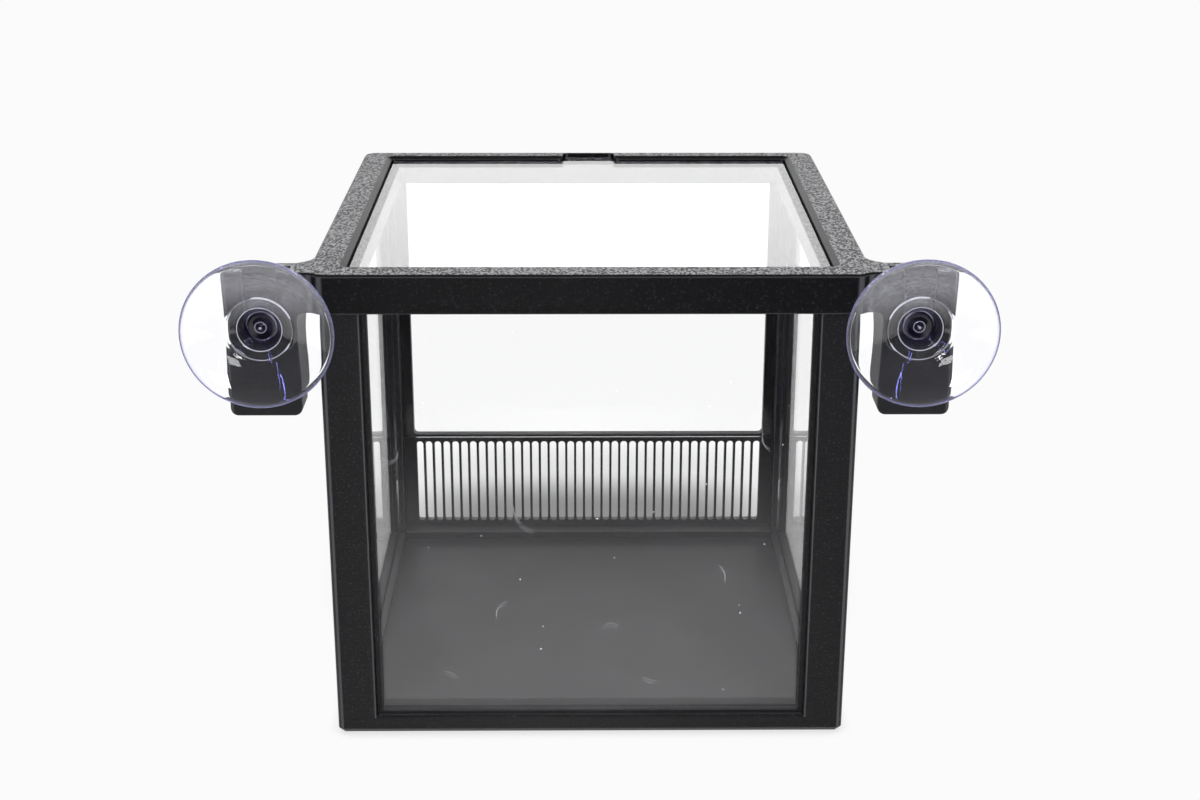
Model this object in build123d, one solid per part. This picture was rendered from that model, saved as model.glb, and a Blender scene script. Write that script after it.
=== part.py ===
"""Hang-in aquarium separation box: printed frame and rim, clear panes, slotted rear grille,
lift-out lid and two suction cups that slide into T-slots in the rim's ears.

Millimetres. +Z is up and the front faces -Y, towards the aquarium glass that the cups hold on to.
The origin is the centre of the frame's footprint, on the surface that the box stands on.
"""
from build123d import *
import os

# Frame: outer size and walls
BODY_W = 100.0            # width over the posts, X
BODY_D = 99.0             # depth over the posts, Y
FRAME_H = 87.7            # height of the posts, where the rim sits
FLOOR_T = 2.1             # floor plate
LEDGE_H = 3.9             # height of the inner ledge round the floor
RAIL_H = 4.0              # height of the outer bottom rail
CORNER_R = 1.3            # rounding of the posts' outer edges
FOOT_CHAMFER = 1.2        # bevel round the bottom of the frame

# Window openings in the front and side walls: a wide shallow step, then a narrower lip
POST_W = 7.9              # front face of a post, from its outer edge to the step
STEP_DEPTH = 1.0          # depth of the step behind the outer face
LIP_W = 1.1               # how far the lip reaches in past the step
LIP_T = 1.0               # thickness of the lip
LIP_RISE = 0.8            # height of the lip above the bottom rail
STEP_EDGE_R = 0.6         # rounding of the step's outer edge

# Panes and the grooves that hold them
PANE_T = 2.0
PANE_FIT = 0.1            # clearance between a pane and each wall of its groove
GROOVE_BITE = 0.85        # how far a groove runs into a post beyond the cavity's corner
PANE_END_FIT = 0.1        # clearance at each upright edge of a pane
INNER_FLANGE_T = 1.35     # wall between a groove and the cavity
REAR_FLANGE_T = 4.5       # the same at the rear, where the ledge is wider
GROOVE_FLOOR = 2.2        # height of the groove's bottom
RIM_GROOVE_DEPTH = 1.6    # groove in the rim's underside
RIM_GROOVE_FIT = 0.1      # clearance above a pane

# Rear wall: window above a crossbar, slotted grille below it
REAR_STILE_W = 7.9        # face of a rear post, from its outer edge to the window
CROSSBAR_BOTTOM = 26.0
CROSSBAR_H = 1.0
WINDOW_CORNER_R = 1.0
GRILLE_OVERLAP = 0.7      # how far the panel reaches up behind the crossbar
SLIT_W = 1.6
BAR_W = 0.54
SLIT_SIDE_MARGIN = 0.6    # least width of panel between the window's edge and the first slit
SLIT_SILL = 1.0           # panel that shows above the bottom rail
SLIT_HEAD = 0.3           # panel that shows below the crossbar
SLIT_CORNER = 0.45        # bevel of a slit's four corners
GRILLE_RELIEF = 0.6       # the slotted field is thinner than its border by this much
GRILLE_BORDER = 0.3       # from the slits to the edge of the thinner field

# Pegs between frame and rim
PEG_R = 1.5
PEG_H = 3.4
PEG_FIT = 0.1
PEG_INSET = 2.6           # peg centre from the two outer faces
PEG_EDGE = 0.4            # bevel of the peg's end

# Rim
RIM_OVERHANG = 1.5        # beyond the posts on every side
RIM_H = 7.4
RIM_CORNER_R = 2.6
RIM_EDGE = 0.4            # bevel of the rim's top edges
RIM_SIDE_RAIL = 6.45      # from the rim's outer edge to the wall of the lid opening
RIM_FRONT_RAIL = 6.45
RIM_REAR_RAIL = 4.6
OPEN_CORNER_R = 0.8
OPEN_EDGE_W = 1.05        # width of the bevel round the top of the opening
OPEN_EDGE_DROP = 0.55     # and how far it falls
LID_RECESS = 0.95         # top of the lid below the top of the rim
LID_T = 2.0
SEAT_W = 2.05             # width of the ledge that the lid lies on

# Lid and its finger tab
LID_FIT = 0.3             # gap round the lid and its tab
LID_EDGE = 0.2            # bevel of the lid's top edges
NOTCH_W = 11.8
NOTCH_DEPTH = 4.05        # notch in the rear rail, from the lid opening outwards
NOTCH_CORNER_R = 1.4
NOTCH_MOUTH_R = 1.2       # rounding where the notch meets the lid opening

# Ears
EAR_STANDOFF = 3.45       # from the posts' outer face to an ear plate
EAR_W = 13.5
EAR_T = 6.6
EAR_H = 27.5
EAR_CORNER_R = 1.6        # lower corners of the plate
EAR_TIP_R = 0.8           # upright edges of the ear's tip
EAR_REAR_FILLET = 5.0     # hollow corner between arm and rim, behind
SWEEP_PAST = 0.2          # middle of the front's swept corner, past the posts' outer face
SWEEP_W = 3.6             # width of the swept corner that runs back to the arm's front
ARM_FILLET = 1.2          # hollow corner under the arm

# T-slot and suction cup, sharing the cup's axis height
CUP_DROP = 10.05          # from the top of the rim to the cup's axis
SLOT_WALL = 2.0           # front wall of the ear, which the neck passes through
NECK_R = 2.7
HEAD_R = 5.0
HEAD_T = 2.0
CUP_FIT = 0.3             # clearance round neck and head, and behind the collar
HEAD_EDGE = 0.5           # bevel of the head's rear edge
COLLAR_R = 4.05
HUB_R = 5.95
HUB_RISE = 1.3            # from the collar's back to the back of the disc
CUP_R = 14.0
CUP_REACH = 5.6           # from the ear's front face to the lip of the cup
LIP_EDGE = 0.45           # thickness of the cup at its edge
BOWL_DEPTH = 2.6          # hollow of the cup
BEND_R = 10.6             # radius at which the disc's back turns steeper
BEND_RISE = 1.2           # rise of the disc's back from the hub to that bend

PAST = 1.0                # how far a cutter runs past the face that it opens

# Worked out from the values above
half_w = BODY_W / 2
half_d = BODY_D / 2
groove_w = PANE_T + 2 * PANE_FIT
outer_lip = STEP_DEPTH + LIP_T
inner_u = outer_lip + groove_w                  # from the outer face to the groove's inner wall
cavity_x = half_w - inner_u - INNER_FLANGE_T
cavity_front = half_d - inner_u - INNER_FLANGE_T
cavity_rear = half_d - inner_u - REAR_FLANGE_T
step_x = half_w - POST_W
step_y = half_d - POST_W
rim_top = FRAME_H + RIM_H
rim_half_w = half_w + RIM_OVERHANG
rim_half_d = half_d + RIM_OVERHANG
lid_top = rim_top - LID_RECESS
seat_z = lid_top - LID_T
pane_top = FRAME_H + RIM_GROOVE_DEPTH - RIM_GROOVE_FIT
open_side = rim_half_w - RIM_SIDE_RAIL
open_front = rim_half_d - RIM_FRONT_RAIL
open_rear = rim_half_d - RIM_REAR_RAIL
window_w = BODY_W - 2 * REAR_STILE_W
window_z = CROSSBAR_BOTTOM + CROSSBAR_H
panel_top = CROSSBAR_BOTTOM + GRILLE_OVERLAP
ear_front = -half_d
ear_back = ear_front + EAR_T
ear_centre = half_w + EAR_STANDOFF + EAR_W / 2
ear_tip = ear_centre + EAR_W / 2
cup_axis_z = rim_top - CUP_DROP
peg_x = half_w - PEG_INSET
peg_y = half_d - PEG_INSET
tab_w = NOTCH_W - 2 * LID_FIT


def block(x0, x1, y0, y1, z0, z1):
    """A box between two corners."""
    solid = Box(x1 - x0, y1 - y0, z1 - z0, align=(Align.MIN, Align.MIN, Align.MIN))
    return Pos(x0, y0, z0) * solid


def upright(x0, x1, y0, y1, z0, z1, radius):
    """A box whose four upright edges are rounded."""
    outline = Pos((x0 + x1) / 2, (y0 + y1) / 2) * RectangleRounded(x1 - x0, y1 - y0, radius)
    return Pos(0, 0, z0) * extrude(outline, z1 - z0)


def at_walls(cutter_half_x, cutter_half_y, bottom, depth_from, depth_to):
    """Cutters for the front, left and right openings, between two depths behind the outer faces."""
    top = FRAME_H + PAST
    front = block(-cutter_half_x, cutter_half_x, -half_d + depth_from, -half_d + depth_to, bottom, top)
    left = block(-half_w + depth_from, -half_w + depth_to, -cutter_half_y, cutter_half_y, bottom, top)
    right = block(half_w - depth_to, half_w - depth_from, -cutter_half_y, cutter_half_y, bottom, top)
    return [front, left, right]


def groove_rectangles():
    """The four pane grooves in plan: front, rear, left and right, each as x0, x1, y0, y1."""
    end_x = cavity_x + GROOVE_BITE
    front_end = -(cavity_front + GROOVE_BITE)
    rear_end = cavity_rear + GROOVE_BITE
    u0, u1 = outer_lip, inner_u
    return {
        "front": (-end_x, end_x, -half_d + u0, -half_d + u1),
        "rear": (-end_x, end_x, half_d - u1, half_d - u0),
        "left": (-half_w + u0, -half_w + u1, front_end, rear_end),
        "right": (half_w - u1, half_w - u0, front_end, rear_end),
    }


def make_base_frame():
    """Floor, bottom rails and grooved posts, printed in one piece."""
    outline = RectangleRounded(BODY_W, BODY_D, CORNER_R)
    frame = extrude(outline, FRAME_H)
    frame = chamfer(frame.faces().sort_by(Axis.Z)[0].edges(), FOOT_CHAMFER)
    inner_top = FRAME_H + PAST
    frame -= block(-cavity_x, cavity_x, -cavity_front, cavity_rear, FLOOR_T, inner_top)
    # Between the posts the inner flanges are cut down to the ledge
    frame -= block(-half_w + inner_u, half_w - inner_u, -cavity_front, cavity_rear, LEDGE_H, inner_top)
    frame -= block(-cavity_x, cavity_x, -half_d + inner_u, half_d - inner_u, LEDGE_H, inner_top)
    for x0, x1, y0, y1 in groove_rectangles().values():
        frame -= block(x0, x1, y0, y1, GROOVE_FLOOR, inner_top)
    lip_x = step_x - LIP_W
    lip_y = step_y - LIP_W
    for cutter in at_walls(lip_x, lip_y, RAIL_H + LIP_RISE, 0, inner_u):
        frame -= cutter
    for cutter in at_walls(step_x, step_y, RAIL_H, -PAST, STEP_DEPTH):
        frame -= cutter
    frame -= rear_apertures()
    for sx in (-1, 1):
        for sy in (-1, 1):
            peg = Pos(sx * peg_x, sy * peg_y, FRAME_H - PAST) * Cylinder(
                PEG_R, PEG_H + PAST, align=(Align.CENTER, Align.CENTER, Align.MIN))
            frame += chamfer(peg.edges().sort_by(Axis.Z)[-1], PEG_EDGE)
    return round_step_edges(frame)


def round_step_edges(frame):
    """Round the outer edges of the stepped openings: two uprights and the rail's top on each wall."""
    edges = []
    for edge in frame.edges():
        middle = edge.center()
        box = edge.bounding_box()
        on_front = abs(middle.Y + half_d) < 0.01
        on_side = abs(abs(middle.X) - half_w) < 0.01
        upright_front = on_front and abs(abs(middle.X) - step_x) < 0.01 and box.size.Z > POST_W
        upright_side = on_side and abs(abs(middle.Y) - step_y) < 0.01 and box.size.Z > POST_W
        rail_front = on_front and abs(middle.Z - RAIL_H) < 0.01 and box.size.X > POST_W
        rail_side = on_side and abs(middle.Z - RAIL_H) < 0.01 and box.size.Y > POST_W
        if upright_front or upright_side or rail_front or rail_side:
            edges.append(edge)
    return fillet(edges, STEP_EDGE_R)


def rear_apertures():
    """The window above the crossbar and the grille's opening below it, through the rear wall."""
    top = FRAME_H + PAST
    depth = outer_lip + PAST
    window = Pos(0, (top + window_z) / 2) * Rectangle(window_w, top - window_z)
    window = fillet(window.vertices().sort_by(Axis.Y)[:2], WINDOW_CORNER_R)
    below = Pos(0, (RAIL_H + CROSSBAR_BOTTOM) / 2) * RectangleRounded(
        window_w, CROSSBAR_BOTTOM - RAIL_H, WINDOW_CORNER_R)
    face = Plane(origin=(0, half_d + PAST, 0), x_dir=(1, 0, 0), z_dir=(0, -1, 0))
    return extrude(face * window, depth) + extrude(face * below, depth)


def make_pane(name):
    """A flat pane that fills its groove but for the clearances."""
    x0, x1, y0, y1 = groove_rectangles()[name]
    bottom = GROOVE_FLOOR if name != "rear" else panel_top
    if name in ("front", "rear"):
        x0, x1 = x0 + PANE_END_FIT, x1 - PANE_END_FIT
        y0, y1 = y0 + PANE_FIT, y1 - PANE_FIT
    else:
        y0, y1 = y0 + PANE_END_FIT, y1 - PANE_END_FIT
        x0, x1 = x0 + PANE_FIT, x1 - PANE_FIT
    return block(x0, x1, y0, y1, bottom, pane_top)


def make_rear_grille():
    """The slotted panel: a stiff border round a thinner field of upright slits."""
    x0, x1, y0, y1 = groove_rectangles()["rear"]
    x0, x1 = x0 + PANE_END_FIT, x1 - PANE_END_FIT
    y0, y1 = y0 + PANE_FIT, y1 - PANE_FIT
    panel = block(x0, x1, y0, y1, GROOVE_FLOOR, panel_top)
    pitch = SLIT_W + BAR_W
    count = int((window_w - 2 * SLIT_SIDE_MARGIN + BAR_W) / pitch)
    field_half = (count * pitch - BAR_W) / 2 + GRILLE_BORDER
    bottom = RAIL_H + SLIT_SILL
    top = CROSSBAR_BOTTOM - SLIT_HEAD
    panel -= block(-field_half, field_half, y1 - GRILLE_RELIEF, y1 + PAST,
                   bottom - GRILLE_BORDER, top + GRILLE_BORDER)
    slit = chamfer(Rectangle(SLIT_W, top - bottom).vertices(), SLIT_CORNER)
    places = Pos(0, (top + bottom) / 2) * GridLocations(pitch, pitch, count, 1)
    slits = Sketch() + [place * slit for place in places]
    face = Plane(origin=(0, y1 + PAST, 0), x_dir=(1, 0, 0), z_dir=(0, -1, 0))
    panel -= extrude(face * slits, PANE_T + 2 * PAST)
    return panel


def rim_outline():
    """The rim and its two arms in plan: half of it is drawn, then mirrored."""
    flat = half_w + SWEEP_PAST - SWEEP_W / 2
    with BuildSketch() as outline:
        with BuildLine():
            front = Line((0, -rim_half_d), (flat, -rim_half_d))
            middle = (flat + SWEEP_W / 2, (ear_front - rim_half_d) / 2)
            out = TangentArc(front @ 1, middle, tangent=front % 1)
            sweep = TangentArc(out @ 1, (flat + SWEEP_W, ear_front), tangent=out % 1)
            Line(sweep @ 1, (ear_tip - EAR_TIP_R, ear_front))
            RadiusArc((ear_tip - EAR_TIP_R, ear_front), (ear_tip, ear_front + EAR_TIP_R), -EAR_TIP_R)
            Line((ear_tip, ear_front + EAR_TIP_R), (ear_tip, ear_back - EAR_TIP_R))
            RadiusArc((ear_tip, ear_back - EAR_TIP_R), (ear_tip - EAR_TIP_R, ear_back), -EAR_TIP_R)
            Line((ear_tip - EAR_TIP_R, ear_back), (rim_half_w + EAR_REAR_FILLET, ear_back))
            RadiusArc((rim_half_w + EAR_REAR_FILLET, ear_back),
                      (rim_half_w, ear_back + EAR_REAR_FILLET), EAR_REAR_FILLET)
            Line((rim_half_w, ear_back + EAR_REAR_FILLET), (rim_half_w, rim_half_d - RIM_CORNER_R))
            RadiusArc((rim_half_w, rim_half_d - RIM_CORNER_R),
                      (rim_half_w - RIM_CORNER_R, rim_half_d), -RIM_CORNER_R)
            Polyline((rim_half_w - RIM_CORNER_R, rim_half_d), (0, rim_half_d), (0, -rim_half_d))
        make_face()
        mirror(about=Plane.YZ)
    return outline.sketch


def ear_plate(side):
    """The hanging plate of one ear, rounded below, with the hollow corner where it leaves its arm."""
    front_view = Pos(side * ear_centre, rim_top - EAR_H / 2) * Rectangle(EAR_W, EAR_H)
    front_view = fillet(front_view.vertices().sort_by(Axis.Y)[:2], EAR_CORNER_R)
    inner_x = side * (ear_centre - EAR_W / 2)
    corner = Pos(inner_x - side * ARM_FILLET / 2, FRAME_H) * Rectangle(ARM_FILLET, 2 * ARM_FILLET)
    corner -= Pos(inner_x - side * ARM_FILLET, FRAME_H - ARM_FILLET) * Circle(ARM_FILLET)
    front_view += corner
    face = Plane(origin=(0, ear_back, 0), x_dir=(1, 0, 0), z_dir=(0, -1, 0))
    plate = extrude(face * front_view, EAR_T)
    # Seen from above the plate ends in the arm's rounded tip
    tip_x = side * ear_tip
    plan = Pos(tip_x - side * EAR_W, (ear_front + ear_back) / 2) * Rectangle(2 * EAR_W, EAR_T)
    plan = fillet(plan.vertices().filter_by_position(Axis.X, tip_x - 0.01, tip_x + 0.01), EAR_TIP_R)
    return plate & Pos(0, 0, rim_top - EAR_H) * extrude(plan, EAR_H)


def t_slot(side):
    """The slot for one suction cup: a narrow way for the neck and a wide pocket for the head."""
    axis_x = side * ear_centre
    top = rim_top + PAST
    neck_half = NECK_R + CUP_FIT
    pocket_half = HEAD_R + CUP_FIT
    pocket_front = ear_front + SLOT_WALL
    pocket_back = pocket_front + HEAD_T + 2 * CUP_FIT
    ways = ((neck_half, ear_front - PAST, pocket_back), (pocket_half, pocket_front, pocket_back))
    cutters = []
    for half, y0, y1 in ways:
        cutters.append(Pos(axis_x, y1, cup_axis_z) * Rot(90, 0, 0) * Cylinder(
            half, y1 - y0, align=(Align.CENTER, Align.CENTER, Align.MIN)))
        cutters.append(block(axis_x - half, axis_x + half, y0, y1, cup_axis_z, top))
    return cutters


def opening_bevel():
    """Cutter for the sloping edge round the top of the lid opening."""
    middle_y = (open_rear - open_front) / 2
    wide, deep = 2 * open_side, open_front + open_rear
    low = Pos(0, middle_y, rim_top - OPEN_EDGE_DROP) * RectangleRounded(wide, deep, OPEN_CORNER_R)
    high = Pos(0, middle_y, rim_top) * RectangleRounded(
        wide + 2 * OPEN_EDGE_W, deep + 2 * OPEN_EDGE_W, OPEN_CORNER_R + OPEN_EDGE_W)
    return loft([low, high]) + extrude(high, PAST)


def make_top_rim():
    """Cap ring over posts and panes, with the lid's seat and the two slotted ears."""
    rim = Pos(0, 0, FRAME_H) * extrude(rim_outline(), RIM_H)
    rim = chamfer(rim.faces().sort_by(Axis.Z)[-1].edges(), RIM_EDGE)
    for side in (-1, 1):
        rim += ear_plate(side)
    rim -= upright(-open_side, open_side, -open_front, open_rear, seat_z, rim_top + PAST, OPEN_CORNER_R)
    rim -= upright(-open_side + SEAT_W, open_side - SEAT_W, -open_front + SEAT_W, open_rear - SEAT_W,
                   FRAME_H - PAST, seat_z + PAST, OPEN_CORNER_R)
    rim -= upright(-NOTCH_W / 2, NOTCH_W / 2, open_rear - 2 * NOTCH_CORNER_R, open_rear + NOTCH_DEPTH,
                   seat_z, rim_top + PAST, NOTCH_CORNER_R)
    mouth = [e for e in rim.edges()
             if abs(abs(e.center().X) - NOTCH_W / 2) < 0.01 and abs(e.center().Y - open_rear) < 0.01]
    rim = fillet(mouth, NOTCH_MOUTH_R) - opening_bevel()
    for x0, x1, y0, y1 in groove_rectangles().values():
        rim -= block(x0, x1, y0, y1, FRAME_H - PAST, FRAME_H + RIM_GROOVE_DEPTH)
    for sx in (-1, 1):
        for sy in (-1, 1):
            rim -= Pos(sx * peg_x, sy * peg_y, FRAME_H - PAST) * Cylinder(
                PEG_R + PEG_FIT, PEG_H + PEG_FIT + PAST, align=(Align.CENTER, Align.CENTER, Align.MIN))
    for side in (-1, 1):
        rim -= t_slot(side)
    return rim


def make_lid():
    """The clear lid with its finger tab at the rear."""
    front, rear = -open_front + LID_FIT, open_rear - LID_FIT
    half = open_side - LID_FIT
    plate = Pos(0, (front + rear) / 2) * RectangleRounded(2 * half, rear - front, OPEN_CORNER_R)
    tab_end = open_rear + NOTCH_DEPTH - LID_FIT
    tab_start = rear - 2 * NOTCH_CORNER_R
    plate += Pos(0, (tab_start + tab_end) / 2) * RectangleRounded(
        tab_w, tab_end - tab_start, NOTCH_CORNER_R - LID_FIT)
    roots = [v for v in plate.vertices() if abs(abs(v.X) - tab_w / 2) < 0.01 and abs(v.Y - rear) < 0.01]
    plate = fillet(roots, NOTCH_MOUTH_R + LID_FIT)
    lid = Pos(0, 0, seat_z) * extrude(plate, LID_T)
    return chamfer(lid.faces().sort_by(Axis.Z)[-1].edges(), LID_EDGE)


def make_suction_cup(side):
    """One clear cup, turned about its own axis: head, neck, collar, hub and thin hollow disc."""
    neck_end = CUP_FIT
    head_front = -SLOT_WALL - CUP_FIT
    head_back = head_front - HEAD_T
    disc_back = neck_end + HUB_RISE
    lip = CUP_REACH
    bowl = lip - BOWL_DEPTH
    with BuildPart() as cup:
        with BuildSketch(Plane.XZ):
            with BuildLine():
                Polyline((0, head_back), (HEAD_R - HEAD_EDGE, head_back), (HEAD_R, head_back + HEAD_EDGE),
                         (HEAD_R, head_front), (NECK_R, head_front), (NECK_R, neck_end),
                         (COLLAR_R, neck_end), (HUB_R, disc_back))
                Polyline((HUB_R, disc_back), (BEND_R, disc_back + BEND_RISE), (CUP_R, lip - LIP_EDGE),
                         (CUP_R, lip), (CUP_R - LIP_EDGE, lip), (NECK_R, bowl), (0, bowl))
                Line((0, bowl), (0, head_back))
            make_face()
        revolve(axis=Axis.Z)
    turned = Rot(90, 0, 0) * cup.part
    return Pos(side * ear_centre, ear_front, cup_axis_z) * turned


def main():
    """Build every piece and write one file for each."""
    os.makedirs("parts", exist_ok=True)
    pieces = {
        "base_frame": make_base_frame(),
        "top_rim": make_top_rim(),
        "rear_grille": make_rear_grille(),
        "front_pane": make_pane("front"),
        "left_pane": make_pane("left"),
        "right_pane": make_pane("right"),
        "rear_pane": make_pane("rear"),
        "lid_pane": make_lid(),
        "left_suction_cup": make_suction_cup(-1),
        "right_suction_cup": make_suction_cup(1),
    }
    for name, piece in pieces.items():
        export_step(piece, f"parts/{name}.step")


main()
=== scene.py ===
"""Looks for a hang-in aquarium separation box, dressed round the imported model.

Everything is in metres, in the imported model's own frame: +Z is up and the front faces -Y.
The printed frame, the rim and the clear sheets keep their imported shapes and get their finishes
here. The slotted grille and the two suction cups are made anew in finer form.
"""
import logging
import math
from dataclasses import dataclass
from enum import Enum
from functools import cached_property, partial, reduce
from typing import Mapping

import bmesh
import bpy
from bpy.types import Material, Mesh, Node, NodeTree, Object
from mathutils import Matrix, Vector


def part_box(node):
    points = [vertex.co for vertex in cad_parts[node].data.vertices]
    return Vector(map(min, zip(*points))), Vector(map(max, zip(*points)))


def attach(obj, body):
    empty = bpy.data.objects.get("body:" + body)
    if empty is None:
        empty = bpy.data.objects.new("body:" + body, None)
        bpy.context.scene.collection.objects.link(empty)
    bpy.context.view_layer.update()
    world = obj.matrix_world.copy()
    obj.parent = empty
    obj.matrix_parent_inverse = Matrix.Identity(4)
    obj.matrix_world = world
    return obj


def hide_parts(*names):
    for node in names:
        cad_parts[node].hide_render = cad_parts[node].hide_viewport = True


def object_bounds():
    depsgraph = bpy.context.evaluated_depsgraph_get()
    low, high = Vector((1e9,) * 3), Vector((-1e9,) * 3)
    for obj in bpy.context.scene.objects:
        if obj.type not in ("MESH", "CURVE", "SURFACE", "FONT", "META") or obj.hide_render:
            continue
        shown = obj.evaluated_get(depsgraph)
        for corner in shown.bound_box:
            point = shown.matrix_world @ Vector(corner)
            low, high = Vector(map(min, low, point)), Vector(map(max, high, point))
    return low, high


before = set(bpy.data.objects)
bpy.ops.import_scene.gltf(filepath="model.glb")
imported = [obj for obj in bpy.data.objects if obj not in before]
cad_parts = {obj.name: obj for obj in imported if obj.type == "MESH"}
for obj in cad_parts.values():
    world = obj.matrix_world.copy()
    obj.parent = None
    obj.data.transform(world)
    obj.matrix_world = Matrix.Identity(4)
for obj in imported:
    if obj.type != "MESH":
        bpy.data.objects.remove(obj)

Colour = tuple[float, float, float]
Triple = tuple[float, float, float]
Span = tuple[float, float]
Point = tuple[float, float]
Speeds = tuple[Point, Point]
Socket = bpy.types.NodeSocket
Sockets = bpy.types.NodeOutputs

CAD_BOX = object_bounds()
MM = 0.001
WHITE: Colour = (1.0, 1.0, 1.0)
VIOLET: Colour = (0.25, 0.28, 1.0)
# each hair's centre across and up, its radius, and its arc's middle and half reach in degrees
FRONT_HAIRS_MM = (
    (-9.5, 47.5, 5.2, 215.0, 38.0), (-38.5, 59.0, 2.1, 300.0, 60.0), (-40.5, 51.0, 2.6, 120.0, 30.0),
    (35.5, 62.0, 3.0, 200.0, 40.0), (-16.0, 25.0, 2.4, 150.0, 50.0), (-29.0, 9.0, 3.2, 60.0, 25.0),
    (13.0, 14.0, 4.0, 250.0, 22.0), (24.0, 33.0, 2.2, 20.0, 45.0), (4.0, 21.0, 1.7, 90.0, 55.0),
)

log = logging.getLogger("separation_box")


class MixKind(Enum):
    """What a Mix node mixes: its data type, and the numbers of its sockets A, B and result."""

    NUMBER = ("FLOAT", 2, 3, 0)
    COLOUR = ("RGBA", 6, 7, 2)


class Graph:
    """Adds and joins nodes in one node tree."""

    def __init__(self, tree: NodeTree) -> None:
        """Work on the given tree."""
        self.tree = tree

    def feed(self, socket: Socket, value: object) -> None:
        """Link outputs to a socket, or write a plain value on it.

        Args:
            socket: the input socket.
            value: an output socket or a list of them, or a number, colour or vector.
        """
        if isinstance(value, list):
            for each in value:
                self.feed(socket, each)
        elif isinstance(value, Socket):
            self.tree.links.new(value, socket)
        else:
            socket.default_value = (*value, 1.0) if socket.type == "RGBA" else value

    def add(self, kind: str, inputs: Mapping[object, object] | None = None, **settings: object) -> Node:
        """Make a node.

        Args:
            kind: the node's type name.
            inputs: what goes to its sockets, by name or number.
            settings: properties of the node itself.

        Returns:
            The new node.
        """
        node = self.tree.nodes.new(kind)
        for name, value in settings.items():
            setattr(node, name, value)
        for key, value in (inputs or {}).items():
            self.feed(node.inputs[key], value)
        return node

    def math(self, operation: str, *values: object, clamp: bool = False) -> Socket:
        """Combine numbers with one Math node."""
        node = self.add("ShaderNodeMath", dict(enumerate(values)), operation=operation, use_clamp=clamp)
        return node.outputs[0]

    def product(self, *factors: object) -> Socket:
        """Multiply numbers together, from left to right."""
        return reduce(partial(self.math, "MULTIPLY"), factors)

    def none(self, count: Socket) -> Socket:
        """One where a count is nought."""
        return self.math("LESS_THAN", count, 0.5)

    def size_of(self, value: object) -> Socket:
        """A number without its sign."""
        return self.math("ABSOLUTE", value)

    def vector(self, operation: str, *values: object) -> Socket:
        """Combine vectors with one Vector Math node."""
        return self.add("ShaderNodeVectorMath", dict(enumerate(values)), operation=operation).outputs[0]

    def length(self, vector: Socket) -> Socket:
        """How long a vector is."""
        return self.add("ShaderNodeVectorMath", {0: vector}, operation="LENGTH").outputs["Value"]

    def parts(self, vector: Socket) -> Sockets:
        """A vector's X, Y and Z."""
        return self.add("ShaderNodeSeparateXYZ", {0: vector}).outputs

    def point(self, x: object = 0.0, y: object = 0.0, z: object = 0.0) -> Socket:
        """A vector from three numbers."""
        return self.add("ShaderNodeCombineXYZ", {"X": x, "Y": y, "Z": z}).outputs[0]

    def ramp(self, value: object, span: Span, ends: Span = (0.0, 1.0), smooth: bool = True) -> Socket:
        """Map a number from one range to another, held at both ends.

        Args:
            value: the number to map.
            span: the two values between which the result changes.
            ends: the result at those two values and beyond them.
            smooth: ease in and out instead of running straight.

        Returns:
            The mapped number.
        """
        node = self.add("ShaderNodeMapRange", dict(enumerate((value, *span, *ends))))
        node.interpolation_type = "SMOOTHSTEP" if smooth else "LINEAR"
        return node.outputs[0]

    def mix(self, share: object, first: object, second: object, kind: MixKind = MixKind.NUMBER) -> Socket:
        """Mix two numbers, or two colours."""
        data_type, a, b, result = kind.value
        return self.add("ShaderNodeMix", {0: share, a: first, b: second}, data_type=data_type).outputs[result]

    def blend(self, share: object, first: object, second: object) -> Socket:
        """Mix two colours."""
        return self.mix(share, first, second, MixKind.COLOUR)

    def noise(self, place: Socket, scale: float, detail: float = 2.0, rough: float = 0.5) -> Socket:
        """Smooth random values of the given scale, from 0 to 1."""
        inputs = {"Vector": place, "Scale": scale, "Detail": detail, "Roughness": rough}
        return self.add("ShaderNodeTexNoise", inputs).outputs[0]

    @cached_property
    def normal(self) -> Socket:
        """The surface's own normal."""
        return self.add("ShaderNodeNewGeometry").outputs["Normal"]

    @cached_property
    def sides(self) -> Sockets:
        """The same normal, as X, Y and Z."""
        return self.parts(self.normal)

    @cached_property
    def place_m(self) -> Socket:
        """The point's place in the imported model's frame, in metres."""
        return self.add("ShaderNodeTexCoord").outputs["Object"]

    @cached_property
    def place(self) -> Socket:
        """The same place, in millimetres."""
        return self.vector("MULTIPLY", self.place_m, (1 / MM, 1 / MM, 1 / MM))

    @cached_property
    def xyz(self) -> Sockets:
        """The same place, as X, Y and Z."""
        return self.parts(self.place)


@dataclass(frozen=True)
class Finish(Graph):
    """A node material whose nodes its own methods add."""

    name: str

    @cached_property
    def material(self) -> Material:
        """The material, with no nodes at first.

        Returns:
            The material.
        """
        material = bpy.data.materials.new(self.name)
        material.use_nodes = True
        material.node_tree.nodes.clear()
        return material

    @cached_property
    def tree(self) -> NodeTree:
        """The material's node tree."""
        return self.material.node_tree

    def end(self, surface: Node) -> Material:
        """Join the last shader to the output, and give the material."""
        self.add("ShaderNodeOutputMaterial", {"Surface": surface.outputs[0]})
        return self.material

    def end_clear(self, surface: Node, tint: Colour) -> Material:
        """Finish a clear material so that light passes it on its way to other surfaces.

        Args:
            surface: the clear shader.
            tint: the colour that passing light takes on.

        Returns:
            The material.
        """
        rays = self.add("ShaderNodeLightPath").outputs
        through = self.add("ShaderNodeBsdfTransparent", {"Color": tint}).outputs[0]
        inputs = {0: rays["Is Shadow Ray"], 1: surface.outputs[0], 2: through}
        return self.end(self.add("ShaderNodeMixShader", inputs))


class FlatFinish(Enum):
    """How the level faces of a printed piece came out."""

    PLATE_GRAIN = "pressed against a rough plate"
    RASTER = "filled in with parallel strokes"


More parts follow.
